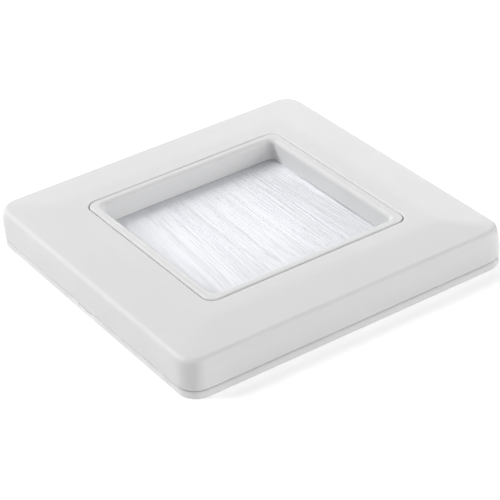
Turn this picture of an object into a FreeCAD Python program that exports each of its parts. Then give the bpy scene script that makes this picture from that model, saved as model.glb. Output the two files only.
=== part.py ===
import FreeCAD, Part

import math
import operator
import os

import Sketcher

# Brush wall plate for a flush wall box, lying on its back.
# The origin is the centre of the back, and +Z points away from the wall.
# The bristles grow from the -X side of the window and reach across to the +X side.

# Driving dimensions in millimetres
SIZES = {
    # Base plate against the wall
    "base_thick": 1.7,
    "base_edge_break": 0.2,
    "base_ledge": 2.0,
    "base_window_corner": 3.0,
    # Cover frame
    "plate_side": 80.0,
    "plate_corner": 4.7,
    "parting_gap": 0.2,
    "lean_rise": 2.2,
    "lean_inset": 0.5,
    "lean_round": 4.0,
    "bevel_slope": 0.1,
    "edge_round": 1.2,
    "shoulder_inset": 3.0,
    "rim_border": 4.3,
    "rim_corner": 1.4,
    "rim_blend": 1.5,
    "cover_wall": 1.8,
    "cover_foot_break": 0.25,
    "collar_wall": 1.6,
    "collar_height": 0.95,
    "clamp_gap": 0.05,
    "insert_gap": 0.25,
    "window_edge_break": 0.2,
    "rib_thick": 1.0,
    "rib_spacing": 16.0,
    "rib_gap": 0.5,
    # Snap fit between cover frame and base plate
    "spigot_gap": 0.1,
    "spigot_wall": 1.3,
    "spigot_height": 3.4,
    "bead_proud": 0.4,
    "bead_nose": 0.3,
    "bead_width": 8.0,
    "bead_offset": 18.0,
    "bead_rise": 2.2,
    "bead_height": 1.0,
    "groove_play": 0.15,
    # Pry notch in the edge of the base plate
    "notch_width": 5.8,
    "notch_shift": 1.1,
    "notch_reach": 1.6,
    "notch_depth": 0.5,
    # Slots for the wall box screws and the room for their heads
    "slot_border": 4.4,
    "slot_width": 3.8,
    "slot_length": 5.4,
    "box_screw_head": 7.2,
    "box_screw_head_height": 2.8,
    "head_play": 0.3,
    # Corner stops that centre the insert on the base plate
    "stop_gap": 0.15,
    "stop_wall": 1.1,
    "stop_length": 7.0,
    "stop_height": 1.8,
    # Centre insert
    "insert_side": 50.0,
    "insert_corner": 2.4,
    "insert_proud": 0.1,
    "lip_width": 2.2,
    "lip_round": 1.1,
    "lip_edge_break": 0.25,
    "recess_corner": 1.7,
    "shelf_step": 3.8,
    "shelf_corner": 3.2,
    "shelf_thick": 1.8,
    "skirt_wall": 1.2,
    "drip_wall": 1.1,
    # Bar that holds the brush strip in the insert
    "bar_gap": 0.1,
    "bar_play": 0.1,
    "bar_thick": 1.4,
    "bar_width": 4.1,
    "bar_seat": 0.4,
    "bar_end_wall": 0.4,
    # Folded channel of the brush strip
    "channel_height": 2.7,
    "channel_depth": 3.4,
    "channel_sheet": 0.4,
    "channel_bend": 0.5,
    "channel_straight": 1.9,
    "channel_pinch": 0.15,
    "channel_end_gap": 0.2,
    # Core wire and bristles
    "core_wire": 0.8,
    "core_inset": 1.1,
    "core_play": 0.03,
    "bristle_play": 0.03,
    "bristle_drip_gap": 0.1,
    "bristle_tuck": 0.8,
    "bristle_spread": 0.3,
    "bristle_droop": 0.2,
    "bristle_fan": 3.0,
    "tuft_ridge": 0.15,
    "tuft_split": 0.06,
    "tuft_uneven": 0.12,
    "tuft_count": 60,
    # Countersunk self-tapping screws of the bar
    "tapping_head": 3.2,
    "tapping_core": 1.5,
    "tapping_length": 4.5,
    "tapping_point": 0.8,
    "tapping_hole": 1.7,
    "tapping_spare": 0.2,
    "tapping_cross": 1.8,
    "tapping_cross_slot": 0.4,
    "tapping_cross_depth": 0.4,
    "bar_hole": 2.1,
    "bar_sink_play": 0.05,
    "boss_merge": 0.2,
}

SIDES = 4
# Closest distance in millimetres at which two places count as one
TOUCH = 0.02
# Length by which a cut or a root runs past the face that it starts from
BITE = 0.5
# Steps in radians of the two waves that give neighbouring tufts their own height
FAST_WAVE = 2.4
SLOW_WAVE = 0.7
# Cross sections of a tuft, as shares of its free length
TUFT_STATIONS = (0, 0.5, 1)


class Size:
    """A length that keeps its number together with its expression over the sheet."""

    def __init__(self, text, number):
        self.text = text
        self.number = number

    def __add__(self, other):
        return combined(self, "+", other, operator.add)

    def __sub__(self, other):
        return combined(self, "-", other, operator.sub)

    def __mul__(self, other):
        return combined(self, "*", other, operator.mul)

    def __truediv__(self, other):
        return combined(self, "/", other, operator.truediv)

    def __neg__(self):
        return Size(f"(-{self.text})", -self.number)


def as_size(item):
    """Wrap a plain number so that it can stand beside a size."""
    if isinstance(item, Size):
        return item
    return Size(f"({item})", item)


def combined(left, sign, right, work):
    right = as_size(right)
    return Size(f"({left.text} {sign} {right.text})", work(left.number, right.number))


class Plan:
    """The sheet's sizes, and the heights and places that several pieces share."""

    def __init__(self, doc):
        self.sheet = doc.addObject("Spreadsheet::Sheet", "Sizes")
        for row, (name, number) in enumerate(SIZES.items(), start=1):
            self.sheet.set(f"A{row}", name)
            self.sheet.set(f"B{row}", str(number))
            self.sheet.setAlias(f"B{row}", name)
            setattr(self, name, Size(f"Sizes.{name}", number))
        doc.recompute()

        # Sides and corners of the squares
        self.cover_window = self.insert_side + self.insert_gap * 2
        self.cover_window_corner = self.insert_corner + self.insert_gap
        self.cover_inside = self.plate_side - self.cover_wall * 2
        self.cover_inside_corner = self.plate_corner - self.cover_wall
        self.edge_side = self.plate_side - self.lean_inset * 2
        self.edge_corner = self.plate_corner - self.lean_inset
        self.shoulder_side = self.plate_side - self.shoulder_inset * 2
        self.shoulder_corner = self.plate_corner - self.shoulder_inset
        self.rim_side = self.cover_window + self.rim_border * 2
        self.bend_side = self.rim_side + self.rim_blend
        self.flat_side = self.rim_side - self.rim_blend
        self.recess_side = self.insert_side - self.lip_width * 2
        self.shelf_side = self.insert_side + self.shelf_step * 2
        self.skirt_inside = self.shelf_side - self.skirt_wall * 2
        self.skirt_inside_corner = self.shelf_corner - self.skirt_wall
        self.base_window = self.skirt_inside - self.base_ledge * 2
        self.box_screw_spacing = self.base_window + self.slot_border * 2

        # Heights from the wall outwards
        self.parting = self.base_thick + self.parting_gap
        self.bar_bottom = self.base_thick + self.bar_gap
        self.boss_bottom = self.bar_bottom + self.bar_thick
        self.channel_bottom = self.boss_bottom - self.bar_seat
        self.brush_middle = self.channel_bottom + self.channel_height / 2
        self.shelf_bottom = self.channel_bottom + self.channel_height
        self.shelf_top = self.shelf_bottom + self.shelf_thick
        self.collar_bottom = self.shelf_top + self.clamp_gap
        self.ceiling = self.collar_bottom + self.collar_height
        self.cover_height = self.ceiling + self.cover_wall
        self.insert_top = self.cover_height + self.insert_proud
        fall = self.bevel_slope / 2
        self.edge_height = self.cover_height - fall * (self.edge_side - self.rim_side)
        self.shoulder_height = self.edge_height + fall * (self.edge_side - self.shoulder_side)
        self.bend_height = self.cover_height - fall * self.rim_blend
        self.lean_height = self.edge_height - self.lean_rise
        self.mouth = self.channel_height - (self.channel_sheet + self.channel_pinch) * 2
        self.drip_bottom = self.brush_middle + self.mouth / 2 + self.bristle_drip_gap

        # Places of the brush strip and its screws, all on the -X side
        self.bar_end = self.skirt_inside / 2 - self.bar_play
        self.screw_place = self.bar_end - self.bar_end_wall - self.tapping_head / 2
        self.boss_radius = self.skirt_inside / 2 - self.screw_place + self.boss_merge
        self.channel_half = self.screw_place - self.boss_radius - self.channel_end_gap
        self.channel_back = -self.bar_end
        self.channel_front = self.channel_back + self.channel_depth
        self.core_x = self.channel_back + self.core_inset
        self.tip_x = self.recess_side / 2 + self.bristle_tuck


# Sketching

def sketch_on(body, name, role, height):
    """Start a sketch on one of the body's own origin planes, lifted by a size."""
    plane = next(item for item in body.Origin.OriginFeatures if item.Role == role)
    sketch = body.newObject("Sketcher::SketchObject", f"{body.Name}_{name}")
    sketch.AttachmentSupport = [(plane, "")]
    sketch.MapMode = "FlatFace"
    sketch.setExpression("AttachmentOffset.Base.z", as_size(height).text)
    return sketch


def bind(sketch, constraint, name, size):
    """Add a driving constraint and tie it to a size."""
    row = sketch.addConstraint(constraint)
    sketch.renameConstraint(row, name)
    sketch.setExpression(f"Constraints.{name}", size.text)


def pin(sketch, element, point, place, name):
    """Tie one point of an element to a place measured from the sketch's origin."""
    for kind, size in zip(("DistanceX", "DistanceY"), place):
        size = as_size(size)
        constraint = Sketcher.Constraint(kind, -1, 1, element, point, size.number)
        bind(sketch, constraint, f"{name}_{kind}", size)


def vector(across, up):
    return FreeCAD.Vector(as_size(across).number, as_size(up).number, 0)


def arc(centre, radius, start):
    """A quarter circle that starts at an angle in degrees."""
    circle = Part.Circle(centre, FreeCAD.Vector(0, 0, 1), radius.number)
    return Part.ArcOfCircle(circle, math.radians(start), math.radians(start + 90))


def polygon(sketch, points):
    """A closed outline with every corner pinned."""
    first = sketch.GeometryCount
    count = len(points)
    for index in range(count):
        start = vector(*points[index])
        end = vector(*points[(index + 1) % count])
        sketch.addGeometry(Part.LineSegment(start, end))
    for index, place in enumerate(points):
        following = first + (index + 1) % count
        sketch.addConstraint(Sketcher.Constraint("Coincident", first + index, 2, following, 1))
        pin(sketch, first + index, 1, place, f"corner{first + index}")


def rectangle(sketch, left, right, low, high):
    polygon(sketch, [(left, low), (right, low), (right, high), (left, high)])


def rounded_box(sketch, left, right, low, high, corner):
    """A rectangle with four equal rounded corners."""
    first = sketch.GeometryCount
    lines = (
        ((left + corner, low), (right - corner, low)),
        ((right, low + corner), (right, high - corner)),
        ((right - corner, high), (left + corner, high)),
        ((left, high - corner), (left, low + corner)),
    )
    for start, end in lines:
        sketch.addGeometry(Part.LineSegment(vector(*start), vector(*end)))
    centres = (
        (right - corner, low + corner),
        (right - corner, high - corner),
        (left + corner, high - corner),
        (left + corner, low + corner),
    )
    for quarter, centre in enumerate(centres):
        sketch.addGeometry(arc(vector(*centre), corner, 90 * (quarter - 1)))
    for side in range(SIDES):
        bend = first + SIDES + side
        following = first + (side + 1) % SIDES
        sketch.addConstraint(Sketcher.Constraint("Tangent", first + side, 2, bend, 1))
        sketch.addConstraint(Sketcher.Constraint("Tangent", bend, 2, following, 1))
        sketch.addConstraint(Sketcher.Constraint(("Horizontal", "Vertical")[side % 2], first + side))
    for bend in range(first + SIDES + 1, first + 2 * SIDES):
        sketch.addConstraint(Sketcher.Constraint("Equal", first + SIDES, bend))
    radius = Sketcher.Constraint("Radius", first + SIDES, corner.number)
    bind(sketch, radius, f"corner{first}", corner)
    for side, size in enumerate((low, right, high, left)):
        kind = ("DistanceY", "DistanceX")[side % 2]
        constraint = Sketcher.Constraint(kind, -1, 1, first + side, 1, size.number)
        bind(sketch, constraint, f"side{first + side}", size)


def rounded_square(sketch, side, corner):
    """A square with rounded corners about the sketch's origin."""
    half = side / 2
    rounded_box(sketch, -half, half, -half, half, corner)


def cut_square(sketch, side, cut):
    """A square about the sketch's origin with its corners cut straight off."""
    half = side / 2
    end = half - cut
    polygon(sketch, [
        (end, -half), (half, -end), (half, end), (end, half),
        (-end, half), (-half, end), (-half, -end), (-end, -half),
    ])


def circle(sketch, centre, radius):
    element = sketch.GeometryCount
    normal = FreeCAD.Vector(0, 0, 1)
    sketch.addGeometry(Part.Circle(vector(*centre), normal, radius.number))
    bind(sketch, Sketcher.Constraint("Radius", element, radius.number), f"radius{element}", radius)
    pin(sketch, element, 3, centre, f"centre{element}")


def slot(sketch, centre, width, length):
    """A slot with round ends that runs along the sketch's second axis."""
    first = sketch.GeometryCount
    across, up = as_size(centre[0]), centre[1]
    radius = width / 2
    reach = length / 2 - radius
    top = vector(across, up + reach)
    bottom = vector(across, up - reach)
    side = FreeCAD.Vector(radius.number, 0, 0)
    normal = FreeCAD.Vector(0, 0, 1)
    sketch.addGeometry(Part.ArcOfCircle(Part.Circle(top, normal, radius.number), 0, math.pi))
    sketch.addGeometry(Part.LineSegment(top - side, bottom - side))
    half_turn = (math.pi, 2 * math.pi)
    sketch.addGeometry(Part.ArcOfCircle(Part.Circle(bottom, normal, radius.number), *half_turn))
    sketch.addGeometry(Part.LineSegment(bottom + side, top + side))
    for index in range(SIDES):
        following = first + (index + 1) % SIDES
        sketch.addConstraint(Sketcher.Constraint("Tangent", first + index, 2, following, 1))
    sketch.addConstraint(Sketcher.Constraint("Equal", first, first + 2))
    bind(sketch, Sketcher.Constraint("Radius", first, radius.number), f"radius{first}", radius)
    pin(sketch, first, 3, (across, up + reach), f"top{first}")
    pin(sketch, first + 2, 3, (across, up - reach), f"bottom{first}")


# Features

def new_body(doc, name):
    body = doc.addObject("PartDesign::Body", name)
    body.Label = name
    return body


def pad(body, sketch, length, both_ways=False):
    """Raise a sketch along its normal, or by half the length each way."""
    feature = body.newObject("PartDesign::Pad", f"{sketch.Name}_pad")
    feature.Profile = sketch
    feature.SideType = "Symmetric" if both_ways else "One side"
    feature.setExpression("Length", length.text)
    body.Document.recompute()
    return feature


def pocket(body, sketch, length=None, upwards=False, both_ways=False):
    """Cut a sketch into the body, right through where no length is given."""
    before = body.Shape.Volume
    feature = body.newObject("PartDesign::Pocket", f"{sketch.Name}_cut")
    feature.Profile = sketch
    feature.Reversed = upwards
    feature.SideType = "Symmetric" if both_ways else "One side"
    if length is None:
        feature.Type = "ThroughAll"
    else:
        feature.setExpression("Length", length.text)
    body.Document.recompute()
    if body.Shape.Volume > before - TOUCH:
        raise RuntimeError(f"{feature.Name} cuts nothing")
    return feature


def loft(body, kind, lower, upper):
    """Join two sketches with straight sides, added to the body or cut from it."""
    feature = body.newObject(f"PartDesign::{kind}", f"{lower.Name}_loft")
    feature.Profile = lower
    feature.Sections = [upper]
    feature.Ruled = True
    body.Document.recompute()
    return feature


def on_every_side(body, features):
    """Repeat features about the plate's axis, once for each side."""
    pattern = body.newObject("PartDesign::PolarPattern", f"{features[0].Name}_turned")
    axis = next(item for item in body.Origin.OriginFeatures if item.Role == "Z_Axis")
    pattern.Originals = features
    pattern.Axis = (axis, [""])
    pattern.Angle = 360
    pattern.Occurrences = SIDES
    body.Tip = pattern
    body.Document.recompute()
    return pattern


def dress(body, kind, size_name, edges, size):
    """Round or chamfer the named edges of the body as it now stands."""
    if not edges:
        raise RuntimeError(f"{body.Name} has no edge for its {kind}")
    base = body.Tip
    feature = body.newObject(f"PartDesign::{kind}", f"{base.Name}_{kind}")
    feature.Base = (base, edges)
    feature.setExpression(size_name, size.text)
    body.Document.recompute()
    return feature


def fillet(body, edges, radius):
    return dress(body, "Fillet", "Radius", edges, radius)


def chamfer(body, edges, width):
    return dress(body, "Chamfer", "Size", edges, width)


def edge_names(body, wanted):
    """Names of the body's edges whose bounding box passes a test."""
    numbered = enumerate(body.Shape.Edges, start=1)
    return [f"Edge{number}" for number, edge in numbered if wanted(edge.BoundBox)]


def near(one, other):
    return abs(one - other) < TOUCH


def ring(height, side):
    """A test for the edges of a square that lies flat at a height."""
    def wanted(box):
        reach = max(box.XMax, box.YMax, -box.XMin, -box.YMin)
        flat = near(box.ZMin, height.number) and near(box.ZMax, height.number)
        return flat and near(reach, side.number / 2)
    return wanted


# Base plate: edge against the wall, spigot with snap beads, slots and corner stops

def make_base_plate(doc, plan):
    body = new_body(doc, "base_plate")
    outline = sketch_on(body, "outline", "XY_Plane", 0)
    rounded_square(outline, plan.plate_side, plan.plate_corner)
    rounded_square(outline, plan.base_window, plan.base_window_corner)
    pad(body, outline, plan.base_thick)

    spigot = sketch_on(body, "spigot", "XY_Plane", plan.base_thick)
    outside = plan.cover_inside - plan.spigot_gap * 2
    outside_corner = plan.cover_inside_corner - plan.spigot_gap
    rounded_square(spigot, outside, outside_corner)
    inside_corner = outside_corner - plan.spigot_wall
    rounded_square(spigot, outside - plan.spigot_wall * 2, inside_corner)
    pad(body, spigot, plan.spigot_height)

    beads = []
    for side in (-1, 1):
        bead = sketch_on(body, f"bead{side + 1}", "XZ_Plane", plan.bead_offset * side)
        root = outside / 2 - plan.spigot_wall / 2
        nose = outside / 2 + plan.bead_proud
        middle = plan.base_thick + plan.bead_rise
        polygon(bead, [
            (root, middle - plan.bead_height / 2),
            (outside / 2, middle - plan.bead_height / 2),
            (nose, middle - plan.bead_nose / 2),
            (nose, middle + plan.bead_nose / 2),
            (outside / 2, middle + plan.bead_height / 2),
            (root, middle + plan.bead_height / 2),
        ])
        beads.append(pad(body, bead, plan.bead_width, both_ways=True))
    on_every_side(body, beads)

    stop = sketch_on(body, "stop", "XY_Plane", plan.base_thick)
    near_face = plan.shelf_side / 2 + plan.stop_gap
    far_face = near_face + plan.stop_wall
    leg_end = far_face - plan.stop_length
    polygon(stop, [
        (leg_end, near_face),
        (near_face, near_face),
        (near_face, leg_end),
        (far_face, leg_end),
        (far_face, far_face),
        (leg_end, far_face),
    ])
    on_every_side(body, [pad(body, stop, plan.stop_height)])

    slots = sketch_on(body, "slots", "XY_Plane", plan.base_thick)
    for side in (-1, 1):
        centre = (0, plan.box_screw_spacing / 2 * side)
        slot(slots, centre, plan.slot_width, plan.slot_length)
    pocket(body, slots)

    notch = sketch_on(body, "notch", "XY_Plane", plan.base_thick)
    front = -plan.plate_side / 2
    rectangle(
        notch,
        -plan.notch_shift - plan.notch_width / 2,
        -plan.notch_shift + plan.notch_width / 2,
        front - BITE,
        front + plan.notch_reach,
    )
    pocket(body, notch, plan.notch_depth)

    chamfer(body, edge_names(body, ring(as_size(0), plan.plate_side)), plan.base_edge_break)
    return body


# Cover frame: bevelled shell with a collar round the insert, ribs and snap grooves

def make_cover_frame(doc, plan):
    body = new_body(doc, "cover_frame")
    outline = sketch_on(body, "outline", "XY_Plane", plan.parting)
    rounded_square(outline, plan.plate_side, plan.plate_corner)
    pad(body, outline, plan.lean_height - plan.parting)

    # The wall leans in, the bevel keeps its corners concentric as far as the shoulder,
    # and a strip of half the slope softens the bend at the rim
    rings = (
        ("lean", plan.lean_height, plan.plate_side, plan.plate_corner),
        ("edge", plan.edge_height, plan.edge_side, plan.edge_corner),
        ("shoulder", plan.shoulder_height, plan.shoulder_side, plan.shoulder_corner),
        ("bend", plan.bend_height, plan.bend_side, plan.rim_corner),
        ("rim", plan.cover_height, plan.flat_side, plan.rim_corner),
    )
    for lower, upper in zip(rings, rings[1:]):
        profiles = []
        for name, height, side, corner in (lower, upper):
            profile = sketch_on(body, f"{lower[0]}_to_{upper[0]}_{name}", "XY_Plane", height)
            rounded_square(profile, side, corner)
            profiles.append(profile)
        loft(body, "AdditiveLoft", *profiles)

    fillet(body, edge_names(body, ring(plan.edge_height, plan.edge_side)), plan.edge_round)
    fillet(body, edge_names(body, ring(plan.lean_height, plan.plate_side)), plan.lean_round)

    hollow = sketch_on(body, "hollow", "XY_Plane", plan.parting)
    rounded_square(hollow, plan.cover_inside, plan.cover_inside_corner)
    eaves_height = plan.edge_height - plan.cover_wall
    pocket(body, hollow, eaves_height - plan.parting, upwards=True)
    eaves = sketch_on(body, "eaves", "XY_Plane", eaves_height)
    cut_square(eaves, plan.cover_inside, plan.cover_inside_corner)
    roof = sketch_on(body, "roof", "XY_Plane", plan.ceiling)
    cut_square(roof, plan.rim_side, plan.rim_corner)
    loft(body, "SubtractiveLoft", eaves, roof)

    collar = sketch_on(body, "collar", "XY_Plane", plan.collar_bottom)
    collar_side = plan.cover_window + plan.collar_wall * 2
    rounded_square(collar, collar_side, plan.cover_window_corner + plan.collar_wall)
    pad(body, collar, plan.ceiling - plan.collar_bottom)
    window = sketch_on(body, "window", "XY_Plane", plan.collar_bottom)
    rounded_square(window, plan.cover_window, plan.cover_window_corner)
    pocket(body, window, upwards=True)

    make_cover_ribs(body, plan, collar_side)
    make_snap_grooves(body, plan)

    top_edge = edge_names(body, ring(plan.cover_height, plan.cover_window))
    chamfer(body, top_edge, plan.window_edge_break)
    chamfer(body, edge_names(body, ring(plan.parting, plan.plate_side)), plan.cover_foot_break)
    return body


def make_cover_ribs(body, plan, collar_side):
    """Three ribs a side, from the collar to the outer wall, clear of the insert's shelf."""
    start = collar_side / 2 - plan.collar_wall / 2
    step = plan.shelf_side / 2 + plan.rib_gap
    end = plan.cover_inside / 2 + plan.cover_wall / 2
    low = plan.base_thick + plan.spigot_height + plan.rib_gap
    ribs = []
    for place in (-1, 0, 1):
        rib = sketch_on(body, f"rib{place + 1}", "XZ_Plane", plan.rib_spacing * place)
        polygon(rib, [
            (start, plan.collar_bottom),
            (step, plan.collar_bottom),
            (step + plan.rib_gap, low),
            (end, low),
            (end, plan.edge_height - plan.cover_wall),
            (start, plan.ceiling + plan.cover_wall / 2),
        ])
        ribs.append(pad(body, rib, plan.rib_thick, both_ways=True))
    on_every_side(body, ribs)


def make_snap_grooves(body, plan):
    """Grooves inside the outer wall that the beads of the base plate snap into."""
    play = plan.groove_play
    middle = plan.base_thick + plan.bead_rise
    floor = plan.cover_inside / 2 - plan.spigot_gap + plan.bead_proud + play
    grooves = []
    for side in (-1, 1):
        groove = sketch_on(body, f"groove{side + 1}", "XZ_Plane", plan.bead_offset * side)
        rectangle(
            groove,
            plan.cover_inside / 2 - BITE,
            floor,
            middle - plan.bead_height / 2 - play,
            middle + plan.bead_height / 2 + play,
        )
        grooves.append(pocket(body, groove, plan.bead_width + play * 2, both_ways=True))
    on_every_side(body, grooves)


# Centre insert: lip, recess, clamped shelf, skirt and the bosses of the brush strip

def make_center_insert(doc, plan):
    body = new_body(doc, "center_insert")
    skirt = sketch_on(body, "skirt", "XY_Plane", plan.base_thick)
    rounded_square(skirt, plan.shelf_side, plan.shelf_corner)
    rounded_square(skirt, plan.skirt_inside, plan.skirt_inside_corner)
    pad(body, skirt, plan.shelf_bottom - plan.base_thick)

    shelf = sketch_on(body, "shelf", "XY_Plane", plan.shelf_bottom)
    rounded_square(shelf, plan.shelf_side, plan.shelf_corner)
    pad(body, shelf, plan.shelf_thick)

    block = sketch_on(body, "block", "XY_Plane", plan.shelf_top)
    rounded_square(block, plan.insert_side, plan.insert_corner)
    pad(body, block, plan.insert_top - plan.shelf_top)

    drip = sketch_on(body, "drip", "XY_Plane", plan.drip_bottom)
    rounded_square(drip, plan.recess_side + plan.drip_wall * 2, plan.recess_corner + plan.drip_wall)
    pad(body, drip, plan.shelf_bottom - plan.drip_bottom)

    recess = sketch_on(body, "recess", "XY_Plane", plan.drip_bottom)
    rounded_square(recess, plan.recess_side, plan.recess_corner)
    pocket(body, recess, upwards=True)

    bosses = sketch_on(body, "bosses", "XY_Plane", plan.boss_bottom)
    holes = sketch_on(body, "holes", "XY_Plane", plan.boss_bottom)
    for side in (-1, 1):
        centre = (-plan.screw_place, plan.screw_place * side)
        circle(bosses, centre, plan.boss_radius)
        circle(holes, centre, plan.tapping_hole / 2)
    pad(body, bosses, plan.shelf_bottom - plan.boss_bottom)
    hole_depth = plan.tapping_length - plan.bar_thick + plan.tapping_spare
    pocket(body, holes, hole_depth, upwards=True)

    rooms = sketch_on(body, "rooms", "XY_Plane", plan.base_thick)
    room_half = plan.box_screw_head / 2 + plan.head_play
    room_inside = plan.skirt_inside / 2 - BITE
    room_outside = plan.shelf_side / 2 + BITE
    rectangle(rooms, -room_half, room_half, room_inside, room_outside)
    rectangle(rooms, -room_half, room_half, -room_outside, -room_inside)
    pocket(body, rooms, plan.box_screw_head_height, upwards=True)

    fillet(body, edge_names(body, ring(plan.insert_top, plan.recess_side)), plan.lip_round)
    chamfer(body, edge_names(body, ring(plan.insert_top, plan.insert_side)), plan.lip_edge_break)
    return body


# Bar screwed under the insert, with a seat that holds the channel from behind

def make_brush_bar(doc, plan):
    body = new_body(doc, "brush_bar")
    outline = sketch_on(body, "outline", "XY_Plane", plan.bar_bottom)
    edge = -plan.bar_end
    corner = plan.skirt_inside_corner
    rounded_box(outline, edge, edge + plan.bar_width, -plan.bar_end, plan.bar_end, corner)
    pad(body, outline, plan.bar_thick)

    seat = sketch_on(body, "seat", "XY_Plane", plan.boss_bottom)
    seat_half = plan.channel_half + plan.channel_end_gap / 2
    rectangle(seat, edge - BITE, edge + plan.bar_width + BITE, -seat_half, seat_half)
    pocket(body, seat, plan.bar_seat)

    holes = sketch_on(body, "holes", "XY_Plane", plan.boss_bottom)
    for side in (-1, 1):
        circle(holes, (-plan.screw_place, plan.screw_place * side), plan.bar_hole / 2)
    pocket(body, holes)

    def sunk_edge(box):
        flat = near(box.ZMin, plan.bar_bottom.number) and near(box.ZMax, plan.bar_bottom.number)
        return flat and near(box.XLength, plan.bar_hole.number)

    sink = (plan.tapping_head - plan.bar_hole) / 2 + plan.bar_sink_play
    chamfer(body, edge_names(body, sunk_edge), sink)
    return body


def make_bar_screws(doc, plan):
    """One screw at the origin, head down, then a pair of it at its bosses."""
    screw = new_body(doc, "bar_screw")
    profile = sketch_on(screw, "profile", "XZ_Plane", 0)
    head = plan.tapping_head / 2
    core = plan.tapping_core / 2
    polygon(profile, [
        (0, 0),
        (head, 0),
        (core, head - core),
        (core, plan.tapping_length - plan.tapping_point),
        (0, plan.tapping_length),
    ])
    turned = screw.newObject("PartDesign::Revolution", "bar_screw_turned")
    turned.Profile = profile
    turned.ReferenceAxis = (profile, ["V_Axis"])
    turned.Angle = 360
    doc.recompute()

    cross = sketch_on(screw, "cross", "XY_Plane", 0)
    arm = plan.tapping_cross / 2
    slit = plan.tapping_cross_slot / 2
    polygon(cross, [
        (slit, slit), (slit, arm), (-slit, arm), (-slit, slit),
        (-arm, slit), (-arm, -slit), (-slit, -slit), (-slit, -arm),
        (slit, -arm), (slit, -slit), (arm, -slit), (arm, slit),
    ])
    pocket(screw, cross, plan.tapping_cross_depth, upwards=True)
    screw.setExpression("Placement.Base.x", (-plan.screw_place).text)
    screw.setExpression("Placement.Base.y", plan.screw_place.text)
    screw.setExpression("Placement.Base.z", plan.bar_bottom.text)

    twin = doc.addObject("Part::Mirroring", "bar_screw_twin")
    twin.Source = screw
    twin.Normal = FreeCAD.Vector(0, 1, 0)
    pair = doc.addObject("Part::Compound", "bar_screws")
    pair.Links = [screw, twin]
    pair.Label = "bar_screws"
    doc.recompute()
    return pair


# Brush strip: folded channel, core wire and the bristles folded round it

def make_brush_channel(doc, plan):
    body = new_body(doc, "brush_channel")
    fold = sketch_on(body, "fold", "XZ_Plane", 0)
    back = plan.channel_back
    straight = back + plan.channel_straight
    front = plan.channel_front
    low = plan.channel_bottom
    high = plan.shelf_bottom
    sheet = plan.channel_sheet
    pinch = plan.channel_pinch
    polygon(fold, [
        (back, low),
        (straight, low),
        (front, low + pinch),
        (front, low + pinch + sheet),
        (straight, low + sheet),
        (back + sheet, low + sheet),
        (back + sheet, high - sheet),
        (straight, high - sheet),
        (front, high - pinch - sheet),
        (front, high - pinch),
        (straight, high),
        (back, high),
    ])
    pad(body, fold, plan.channel_half * 2, both_ways=True)

    def bend(inset):
        """A test for the two long edges at a distance inside the folded back."""
        def wanted(box):
            at_back = near(box.XMin, back.number + inset) and near(box.XMax, back.number + inset)
            at_low = near(box.ZMax, low.number + inset)
            at_high = near(box.ZMin, high.number - inset)
            return box.YLength > BITE and at_back and (at_low or at_high)
        return wanted

    fillet(body, edge_names(body, bend(0)), plan.channel_bend)
    fillet(body, edge_names(body, bend(sheet.number)), (plan.channel_bend - sheet))
    return body


def make_core_wire(doc, plan):
    body = new_body(doc, "brush_core_wire")
    section = sketch_on(body, "section", "XZ_Plane", 0)
    circle(section, (plan.core_x, plan.brush_middle), plan.core_wire / 2)
    pad(body, section, plan.channel_half * 2, both_ways=True)
    return body


def tuft_section(x, middle_y, middle_z, width, height, ridge):
    """An upright hexagon across a tuft, with a ridge along its top and bottom."""
    shoulder = height / 2 - ridge
    corners = (
        (0, height / 2), (width / 2, shoulder), (width / 2, -shoulder),
        (0, -height / 2), (-width / 2, -shoulder), (-width / 2, shoulder),
    )
    points = [FreeCAD.Vector(x, middle_y + y, middle_z + z) for y, z in corners]
    return Part.makePolygon(points + points[:1])


def make_bristle_root(plan):
    """The folded bristles that fill the channel around the core wire."""
    back = (plan.channel_back + plan.channel_sheet + plan.bristle_play).number
    straight = (plan.channel_back + plan.channel_straight).number
    front = plan.channel_front.number
    middle = plan.brush_middle.number
    thick = (plan.channel_height / 2 - plan.channel_sheet - plan.bristle_play).number
    mouth = (plan.mouth / 2 - plan.bristle_play).number
    half_width = plan.channel_half.number
    outline = [
        (back, thick), (straight, thick), (front, mouth),
        (front, -mouth), (straight, -thick), (back, -thick),
    ]
    points = [FreeCAD.Vector(x, -half_width, middle + z) for x, z in outline]
    face = Part.Face(Part.makePolygon(points + points[:1]))
    root = face.extrude(FreeCAD.Vector(0, 2 * half_width, 0))
    core = Part.makeCylinder(
        (plan.core_wire / 2 + plan.core_play).number,
        2 * half_width,
        FreeCAD.Vector(plan.core_x.number, -half_width, middle),
        FreeCAD.Vector(0, 1, 0),
    )
    return root.cut(core)


def make_tuft(plan, index, count):
    """One tuft, which widens, fans out and droops from its root to its tip."""
    half_width = plan.channel_half.number
    pitch = 2 * half_width / count
    place = (index + 0.5) * pitch - half_width
    front = plan.channel_front.number
    fan = plan.bristle_fan.number * place / half_width
    widening = plan.bristle_fan.number * pitch / half_width
    wave = math.sin(FAST_WAVE * index) * math.cos(SLOW_WAVE * index)
    uneven = plan.tuft_uneven.number * wave
    length = plan.tip_x.number - front - abs(uneven)
    height = (plan.mouth - plan.bristle_play * 2).number - abs(uneven)
    wires = []
    for share in TUFT_STATIONS:
        wires.append(tuft_section(
            front + length * share if share else front - BITE,
            place + fan * share,
            plan.brush_middle.number - plan.bristle_droop.number * share ** 2 + uneven * share / 2,
            pitch + widening * share - plan.tuft_split.number,
            height + plan.bristle_spread.number * share,
            plan.tuft_ridge.number,
        ))
    return Part.makeLoft(wires, True, True)


def make_bristles(doc, plan):
    """The root and a comb of tufts, in one piece."""
    count = round(plan.tuft_count.number)
    tufts = [make_tuft(plan, index, count) for index in range(count)]
    feature = doc.addObject("Part::Feature", "bristles")
    feature.Shape = make_bristle_root(plan).fuse(tufts)
    feature.Label = "bristles"
    return feature


# Whole plate

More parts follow.
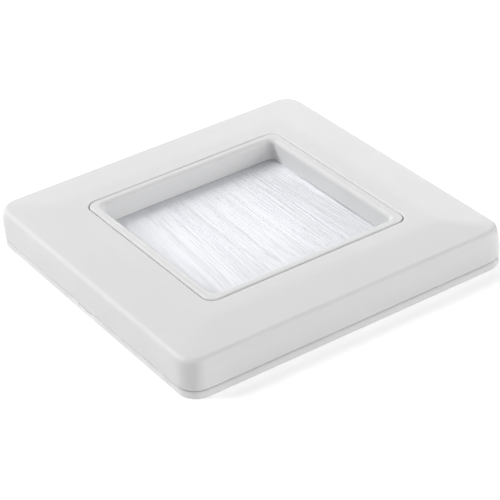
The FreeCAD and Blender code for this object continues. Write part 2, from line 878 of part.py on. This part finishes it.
def failed(item):
    return bool({"Invalid", "Error"} & set(item.State))


def check(doc, pieces):
    """Stop where an object failed or a piece is not a sound solid."""
    for item in doc.Objects:
        if failed(item):
            raise RuntimeError(f"{item.Name} failed: {item.State}")
    for piece in pieces:
        shape = piece.Shape
        if shape.isNull() or not shape.isValid() or not shape.Solids:
            raise RuntimeError(f"{piece.Label} is not a sound solid")


def main():
    doc = FreeCAD.newDocument("brush_wall_plate")
    plan = Plan(doc)
    makers = (
        make_base_plate,
        make_cover_frame,
        make_center_insert,
        make_brush_bar,
        make_bar_screws,
        make_brush_channel,
        make_core_wire,
        make_bristles,
    )
    pieces = [make(doc, plan) for make in makers]
    doc.recompute()
    check(doc, pieces)
    os.makedirs("parts", exist_ok=True)
    for piece in pieces:
        piece.Shape.exportStep(os.path.join("parts", f"{piece.Label}.step"))
        box = piece.Shape.BoundBox
        print(f"{piece.Label}: {piece.Shape.Volume:.1f} mm3, solids {len(piece.Shape.Solids)},"
              f" z {box.ZMin:.2f} to {box.ZMax:.2f}")


main()
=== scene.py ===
import math
import random

import bpy
from mathutils import Matrix, Vector


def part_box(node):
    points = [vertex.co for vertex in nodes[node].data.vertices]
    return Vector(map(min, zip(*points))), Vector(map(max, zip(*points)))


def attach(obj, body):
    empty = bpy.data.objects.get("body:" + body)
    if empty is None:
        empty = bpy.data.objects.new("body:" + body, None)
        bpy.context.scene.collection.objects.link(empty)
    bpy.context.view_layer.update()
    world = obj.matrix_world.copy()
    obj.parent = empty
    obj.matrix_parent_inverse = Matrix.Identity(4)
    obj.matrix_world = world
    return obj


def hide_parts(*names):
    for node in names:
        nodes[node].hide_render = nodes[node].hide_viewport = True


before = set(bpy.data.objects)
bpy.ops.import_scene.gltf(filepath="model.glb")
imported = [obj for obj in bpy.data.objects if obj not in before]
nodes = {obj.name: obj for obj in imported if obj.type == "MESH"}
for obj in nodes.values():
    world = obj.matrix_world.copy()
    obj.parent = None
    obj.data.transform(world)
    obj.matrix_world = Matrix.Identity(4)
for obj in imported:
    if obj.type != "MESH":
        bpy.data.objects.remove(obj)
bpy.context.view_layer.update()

MM = 0.001

# Camera fitted to the straight edges of the plate in the photograph
CAMERA_TURN = math.radians(58.580)
CAMERA_RISE = math.radians(31.901)
CAMERA_ROLL = math.radians(4.668)
CAMERA_DISTANCE = 444.45 * MM
CAMERA_ACROSS = 0.641 * MM
CAMERA_UP = 0.290 * MM
FOCAL_PIXELS = 2040.71
FRAME_PIXELS = 500
SENSOR_WIDTH = 36.0
CLIP_START = 0.01
CLIP_END = 10

# Light of the surround, and what the floor adds to the light that it scatters
WORLD_LIGHT = 0.1
FLOOR_LIFT = 0.4

# Floor: half of its side, how far it lies under the plate, and its colour
FLOOR_HALF = 3.0
FLOOR_DROP = 0.02 * MM
FLOOR_COLOUR = (0.94, 0.94, 0.94)

# Round lamps about the plate: direction and height in degrees, and power in watts
LAMP_DISTANCE = 1.5
LAMP_SIZE = 0.9
LAMPS = {
    "right": (0, 18, 6.6),
    "back_right": (45, 18, 9.2),
    "back_left": (135, 18, 5.2),
    "left": (180, 20, 4.0),
    "front_left": (227, 42, 20.0),
}


# Node helpers

# Nearly all values of a noise texture lie in this range
NOISE_LOW = 0.3
NOISE_HIGH = 0.7


def new_material(name):
    """A material with a Principled shader, and its node tree."""
    material = bpy.data.materials.new(name)
    material.use_nodes = True
    tree = material.node_tree
    return material, tree, tree.nodes["Principled BSDF"]


def coordinates(tree, scale=(1, 1, 1)):
    """Object coordinates in metres, scaled along the axes."""
    source = tree.nodes.new("ShaderNodeTexCoord")
    mapping = tree.nodes.new("ShaderNodeMapping")
    mapping.inputs["Scale"].default_value = scale
    tree.links.new(source.outputs["Object"], mapping.inputs["Vector"])
    return mapping.outputs["Vector"]


def noise(tree, vector, scale, detail=3.0, roughness=0.5):
    texture = tree.nodes.new("ShaderNodeTexNoise")
    texture.inputs["Scale"].default_value = scale
    texture.inputs["Detail"].default_value = detail
    texture.inputs["Roughness"].default_value = roughness
    tree.links.new(vector, texture.inputs["Vector"])
    return texture.outputs["Fac"]


def spread(tree, value, low, high):
    """Map a noise value onto a range."""
    node = tree.nodes.new("ShaderNodeMapRange")
    node.inputs["From Min"].default_value = NOISE_LOW
    node.inputs["From Max"].default_value = NOISE_HIGH
    node.inputs["To Min"].default_value = low
    node.inputs["To Max"].default_value = high
    tree.links.new(value, node.inputs["Value"])
    return node.outputs["Result"]


def blend_colours(tree, value, first, second):
    node = tree.nodes.new("ShaderNodeMix")
    node.data_type = "RGBA"
    node.inputs["A"].default_value = (*first, 1)
    node.inputs["B"].default_value = (*second, 1)
    tree.links.new(value, node.inputs["Factor"])
    return node.outputs["Result"]


def bump(tree, height, distance, strength, below=None):
    node = tree.nodes.new("ShaderNodeBump")
    node.inputs["Distance"].default_value = distance
    node.inputs["Strength"].default_value = strength
    tree.links.new(height, node.inputs["Height"])
    if below is not None:
        tree.links.new(below, node.inputs["Normal"])
    return node.outputs["Normal"]


# Materials

# Noise scales, in cells a metre
CLOUD_SCALE = 60
GRAIN_SCALE = 5200
FLOW_SCALE = 420
LINE_SCALE = 900
STRAND_SCALE = 2400
CLUMP_SCALE = 260

# Shrinking the coordinates along an axis stretches the noise along it
STRAND_STRETCH = (0.02, 1, 0.3)
CLUMP_STRETCH = (0.12, 1, 0.5)
ALONG_Y = (1, 0.03, 1)
EVEN = (1, 1, 1)

# Depth and strength of the bumps
GRAIN_DEPTH = 0.01 * MM
FLOW_DEPTH = 0.04 * MM
GRAIN_STRENGTH = 0.5
FLOW_STRENGTH = 0.25
LINE_STRENGTH = 0.4

# How far light goes into the plastic before it scatters
PLASTIC_SCATTER = 0.5 * MM

# Refraction, and the range of the roughness
PLASTIC_IOR = 1.5
NYLON_IOR = 1.53
PLASTIC_ROUGHNESS = (0.44, 0.54)
NYLON_ROUGHNESS = (0.3, 0.5)
ALUMINIUM_ROUGHNESS = (0.3, 0.45)
STEEL_ROUGHNESS = (0.25, 0.4)

# Colours, each a pair that noise blends
COVER_WHITE = ((0.71, 0.71, 0.71), (0.695, 0.695, 0.695))
# The base plate's white is lighter than the cover's as painted light, against the shade that falls on
# the base at its foot by the floor
BASE_WHITE_PAINTED_LIGHTER = ((0.76, 0.76, 0.76), (0.745, 0.745, 0.745))
STRAND_WHITE = ((0.915, 0.925, 0.96), (0.935, 0.943, 0.97))
CLUMP_WHITE = ((0.985, 0.99, 1), (1, 1, 1))
ALUMINIUM = ((0.8, 0.8, 0.81), (0.68, 0.68, 0.69))
DRAWN_STEEL = ((0.6, 0.6, 0.61), (0.5, 0.5, 0.5))
ZINC = ((0.74, 0.75, 0.76), (0.62, 0.63, 0.64))


def moulded_plastic(name, colour, shade):
    """Satin white plastic: a fine eroded grain over a slight flow of the melt."""
    material, tree, shader = new_material(name)
    place = coordinates(tree)
    cloud = noise(tree, place, CLOUD_SCALE, detail=4)
    grain = noise(tree, place, GRAIN_SCALE, detail=2)
    flow = noise(tree, place, FLOW_SCALE, detail=2)
    tint = blend_colours(tree, spread(tree, cloud, 0, 1), colour, shade)
    tree.links.new(tint, shader.inputs["Base Color"])
    tree.links.new(spread(tree, flow, *PLASTIC_ROUGHNESS), shader.inputs["Roughness"])
    ripple = bump(tree, flow, FLOW_DEPTH, FLOW_STRENGTH)
    tree.links.new(bump(tree, grain, GRAIN_DEPTH, GRAIN_STRENGTH, ripple), shader.inputs["Normal"])
    shader.inputs["IOR"].default_value = PLASTIC_IOR
    shader.inputs["Subsurface Weight"].default_value = 1.0
    shader.inputs["Subsurface Radius"].default_value = (1, 1, 1)
    shader.inputs["Subsurface Scale"].default_value = PLASTIC_SCATTER
    return material


def brushed_metal(name, colour, shade, stretch, roughness):
    """Metal with fine lines where the coordinates are shrunk along an axis, or else an even grain."""
    material, tree, shader = new_material(name)
    lines = noise(tree, coordinates(tree, stretch), LINE_SCALE, detail=4)
    tint = blend_colours(tree, spread(tree, lines, 0, 1), colour, shade)
    tree.links.new(tint, shader.inputs["Base Color"])
    tree.links.new(spread(tree, lines, *roughness), shader.inputs["Roughness"])
    tree.links.new(bump(tree, lines, GRAIN_DEPTH, LINE_STRENGTH), shader.inputs["Normal"])
    shader.inputs["Metallic"].default_value = 1.0
    return material


def bristle_nylon(name):
    """Bluish white filaments with lighter and darker strands along their run."""
    material, tree, shader = new_material(name)
    strands = noise(tree, coordinates(tree, STRAND_STRETCH), STRAND_SCALE, detail=2)
    clumps = noise(tree, coordinates(tree, CLUMP_STRETCH), CLUMP_SCALE, detail=3)
    fine = blend_colours(tree, spread(tree, strands, 0, 1), *STRAND_WHITE)
    broad = blend_colours(tree, spread(tree, clumps, 0, 1), *CLUMP_WHITE)
    both = tree.nodes.new("ShaderNodeMix")
    both.data_type = "RGBA"
    both.blend_type = "MULTIPLY"
    both.inputs["Factor"].default_value = 1.0
    tree.links.new(fine, both.inputs["A"])
    tree.links.new(broad, both.inputs["B"])
    tree.links.new(both.outputs["Result"], shader.inputs["Base Color"])
    tree.links.new(spread(tree, strands, *NYLON_ROUGHNESS), shader.inputs["Roughness"])
    shader.inputs["IOR"].default_value = NYLON_IOR
    return material


# Bristle filaments

LAYERS = 9
FILAMENTS_A_LAYER = 820
FILAMENT_WIDTH = 0.14 * MM
FILAMENT_SIDES = 3
FILAMENT_STEPS = 4
PILE_HALF_HEIGHT = 0.68 * MM
# The outer filaments splay sideways over a short reach, to fill the window's corners
SPLAY = 2.8 * MM
SPLAY_REACH = 0.08
# All lean a little to the -Y side, the more the nearer they grow to it
DRIFT = -2.75 * MM
DRIFT_GAIN = 3.25 * MM
WIDEST = 26.0 * MM
# Roots lie this far inside the channel's mouth and its ends
ROOT_DEPTH = 0.6 * MM
END_MARGIN = 0.2 * MM
# The points crowd towards the root, where the splay is
CROWDING = 1.5
# Scatter from filament to filament: height, lean, lost length, sideways bow, and sag
HEIGHT_SCATTER = 0.03 * MM
LEAN_SCATTER = 0.22 * MM
LENGTH_SCATTER = 0.5 * MM
WANDER_SCATTER = 0.16 * MM
SAG_LOW = 0.02 * MM
SAG_HIGH = 0.12 * MM
SEED = 7


def filament_path(start, end, share, sag, wander):
    """Points of one filament, splayed near its root, bowed and nudged sideways."""
    points = []
    for step in range(FILAMENT_STEPS + 1):
        along = (step / FILAMENT_STEPS) ** CROWDING
        point = start.lerp(end, along)
        point.y += share ** 3 * SPLAY * (1 - math.exp(-along / SPLAY_REACH))
        point.y += wander * math.sin(math.pi * along)
        point.z -= sag * along ** 2
        point.y = max(-WIDEST, min(WIDEST, point.y))
        points.append(point)
    return points


def add_tube(vertices, faces, points, radius):
    """A thin prism along the points with a flat side up, closed at both ends."""
    first = len(vertices)
    for point in points:
        for side in range(FILAMENT_SIDES):
            angle = 2 * math.pi * side / FILAMENT_SIDES - math.pi / 2
            offset = Vector((0, math.cos(angle), math.sin(angle))) * radius
            vertices.append(point + offset)
    for index in range(len(points) - 1):
        low = first + index * FILAMENT_SIDES
        high = low + FILAMENT_SIDES
        for side in range(FILAMENT_SIDES):
            following = (side + 1) % FILAMENT_SIDES
            faces.append((low + side, low + following, high + following, high + side))
    last = first + (len(points) - 1) * FILAMENT_SIDES
    faces.append(tuple(first + side for side in reversed(range(FILAMENT_SIDES))))
    faces.append(tuple(last + side for side in range(FILAMENT_SIDES)))


def make_filaments():
    """Thousands of fine filaments in the space of the CAD bristles."""
    random.seed(SEED)
    low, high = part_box("bristles")
    channel_low, channel_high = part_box("brush_channel")
    root_x = channel_high.x - ROOT_DEPTH
    half = (channel_high.y - channel_low.y) / 2 - END_MARGIN
    middle = (channel_low.z + channel_high.z) / 2
    vertices, faces = [], []
    for layer in range(LAYERS):
        height = middle + PILE_HALF_HEIGHT * (1 - 2 * layer / (LAYERS - 1))
        for index in range(FILAMENTS_A_LAYER):
            share = 2 * (index + random.random()) / FILAMENTS_A_LAYER - 1
            z = height + random.uniform(-HEIGHT_SCATTER, HEIGHT_SCATTER)
            start = Vector((root_x, share * half, z))
            drift = DRIFT + DRIFT_GAIN * share + random.gauss(0, LEAN_SCATTER)
            reach = high.x - abs(random.gauss(0, LENGTH_SCATTER))
            end = Vector((reach, share * half + drift, z))
            sag = random.uniform(SAG_LOW, SAG_HIGH)
            wander = random.gauss(0, WANDER_SCATTER)
            points = filament_path(start, end, share, sag, wander)
            add_tube(vertices, faces, points, FILAMENT_WIDTH / 2)
    mesh = bpy.data.meshes.new("bristle_filaments")
    mesh.from_pydata(vertices, [], faces)
    piece = bpy.data.objects.new("bristle_filaments", mesh)
    bpy.context.scene.collection.objects.link(piece)
    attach(piece, "root")
    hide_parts("bristles")
    piece.data.materials.append(bristle_nylon("bristle_nylon"))
    return piece


# Land of the base plate that the foot of the cover frame rests on, which the solids leave out

LAND_INSET = 0.02 * MM
LAND_WIDTH = 1.2 * MM
LAND_HEIGHT = 0.2 * MM
PLATE_CORNER = 4.7 * MM
CORNER_STEPS = 8


def rounded_outline(half, corner, z):
    """Points of a square with rounded corners, all at one height."""
    points = []
    for quarter in range(4):
        turn = math.pi / 2 * quarter
        middle = Matrix.Rotation(turn, 3, "Z") @ Vector((half - corner, half - corner, z))
        for step in range(CORNER_STEPS + 1):
            angle = turn + math.pi / 2 * step / CORNER_STEPS
            points.append(middle + corner * Vector((math.cos(angle), math.sin(angle), 0)))
    return points


def make_base_land(material):
    """A low closed ring in the parting between the base plate and the cover frame."""
    low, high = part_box("cover_frame")
    top, outside = low.z, high.x - LAND_INSET
    corner = PLATE_CORNER - LAND_INSET
    rings = (
        rounded_outline(outside, corner, top - LAND_HEIGHT),
        rounded_outline(outside, corner, top),
        rounded_outline(outside - LAND_WIDTH, corner - LAND_WIDTH, top),
        rounded_outline(outside - LAND_WIDTH, corner - LAND_WIDTH, top - LAND_HEIGHT),
    )
    count = len(rings[0])
    faces = []
    for ring in range(len(rings)):
        following = (ring + 1) % len(rings)
        for index in range(count):
            after = (index + 1) % count
            faces.append((
                ring * count + index,
                ring * count + after,
                following * count + after,
                following * count + index,
            ))
    mesh = bpy.data.meshes.new("base_land")
    mesh.from_pydata([point for ring in rings for point in ring], [], faces)
    piece = bpy.data.objects.new("base_land", mesh)
    bpy.context.scene.collection.objects.link(piece)
    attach(piece, "root")
    piece.data.materials.append(material)


# Dressing of the CAD pieces

def dress(node, material):
    piece = nodes[node]
    piece.data.materials.clear()
    piece.data.materials.append(material)


def dress_pieces():
    white = moulded_plastic("satin_white_plastic", *COVER_WHITE)
    for node in ("cover_frame", "center_insert", "brush_bar"):
        dress(node, white)
    # The base plate and its land get the lighter white: painted light against the shade at the foot
    # of the plate
    base_white_painted_lighter = moulded_plastic("base_plastic_painted_lighter", *BASE_WHITE_PAINTED_LIGHTER)
    dress("base_plate", base_white_painted_lighter)
    make_base_land(base_white_painted_lighter)
    rolled = brushed_metal("rolled_aluminium", *ALUMINIUM, ALONG_Y, ALUMINIUM_ROUGHNESS)
    dress("brush_channel", rolled)
    drawn = brushed_metal("drawn_steel", *DRAWN_STEEL, ALONG_Y, STEEL_ROUGHNESS)
    dress("brush_core_wire", drawn)
    plated = brushed_metal("zinc_steel", *ZINC, EVEN, STEEL_ROUGHNESS)
    dress("bar_screws", plated)


# Stage: floor, white surround, lamps and camera

def camera_turn():
    """Columns are the camera's right, up and back directions."""
    back = Vector((
        math.sin(CAMERA_TURN) * math.cos(CAMERA_RISE),
        -math.cos(CAMERA_TURN) * math.cos(CAMERA_RISE),
        math.sin(CAMERA_RISE),
    ))
    right = Vector((math.cos(CAMERA_TURN), math.sin(CAMERA_TURN), 0))
    up = back.cross(right)
    turn = Matrix((right, up, back)).transposed()
    return turn @ Matrix.Rotation(-CAMERA_ROLL, 3, "Z")


def make_camera():
    data = bpy.data.cameras.new("camera")
    data.sensor_width = SENSOR_WIDTH
    data.lens = FOCAL_PIXELS * SENSOR_WIDTH / FRAME_PIXELS
    data.clip_start = CLIP_START
    data.clip_end = CLIP_END
    camera = bpy.data.objects.new("camera", data)
    turn = camera_turn()
    place = turn @ Vector((CAMERA_ACROSS, CAMERA_UP, CAMERA_DISTANCE))
    camera.matrix_world = Matrix.Translation(place) @ turn.to_4x4()
    bpy.context.scene.collection.objects.link(camera)
    bpy.context.scene.camera = camera


def seen_directly(tree):
    """1 for camera, glossy and transmission rays, and 0 for the rays that light a surface."""
    path = tree.nodes.new("ShaderNodeLightPath")
    value = path.outputs["Is Camera Ray"]
    for name in ("Is Glossy Ray", "Is Transmission Ray"):
        node = tree.nodes.new("ShaderNodeMath")
        node.operation = "MAXIMUM"
        tree.links.new(value, node.inputs[0])
        tree.links.new(path.outputs[name], node.inputs[1])
        value = node.outputs[0]
    return value


def make_floor():
    """A pale floor that looks white where no shadow falls on it."""
    half = FLOOR_HALF
    mesh = bpy.data.meshes.new("floor")
    corners = [(-half, -half, 0), (half, -half, 0), (half, half, 0), (-half, half, 0)]
    mesh.from_pydata(corners, [], [(0, 1, 2, 3)])
    floor = bpy.data.objects.new("floor", mesh)
    floor.location.z = -FLOOR_DROP
    bpy.context.scene.collection.objects.link(floor)
    material, tree, shader = new_material("pale_floor")
    shader.inputs["Base Color"].default_value = (*FLOOR_COLOUR, 1)
    shader.inputs["Roughness"].default_value = 0.9
    shader.inputs["Specular IOR Level"].default_value = 0.0
    shader.inputs["Emission Color"].default_value = (1, 1, 1, 1)
    lift = tree.nodes.new("ShaderNodeMath")
    lift.operation = "MULTIPLY"
    lift.inputs[1].default_value = FLOOR_LIFT
    tree.links.new(seen_directly(tree), lift.inputs[0])
    tree.links.new(lift.outputs[0], shader.inputs["Emission Strength"])
    mesh.materials.append(material)


def make_world():
    """A white surround that lights the plate evenly and shows as plain white."""
    world = bpy.data.worlds.new("surround")
    world.use_nodes = True
    bpy.context.scene.world = world
    tree = world.node_tree
    light = tree.nodes["Background"]
    light.inputs["Color"].default_value = (1, 1, 1, 1)
    light.inputs["Strength"].default_value = WORLD_LIGHT
    white = tree.nodes.new("ShaderNodeBackground")
    white.inputs["Color"].default_value = (1, 1, 1, 1)
    mix = tree.nodes.new("ShaderNodeMixShader")
    tree.links.new(seen_directly(tree), mix.inputs["Fac"])
    tree.links.new(light.outputs[0], mix.inputs[1])
    tree.links.new(white.outputs[0], mix.inputs[2])
    tree.links.new(mix.outputs[0], tree.nodes["World Output"].inputs["Surface"])


def make_lamp(name, turn, rise, power):
    data = bpy.data.lights.new(name, "AREA")
    data.shape = "DISK"
    data.size = LAMP_SIZE
    data.energy = power
    lamp = bpy.data.objects.new(name, data)
    turn, rise = math.radians(turn), math.radians(rise)
    away = Vector((
        math.cos(turn) * math.cos(rise),
        math.sin(turn) * math.cos(rise),
        math.sin(rise),
    ))
    lamp.location = away * LAMP_DISTANCE
    lamp.rotation_euler = (-away).to_track_quat("-Z", "Y").to_euler()
    bpy.context.scene.collection.objects.link(lamp)


def make_stage():
    make_floor()
    make_world()
    for name, (turn, rise, power) in LAMPS.items():
        make_lamp(name, turn, rise, power)
    make_camera()
    bpy.context.scene.view_settings.view_transform = "Standard"


dress_pieces()
make_filaments()
make_stage()
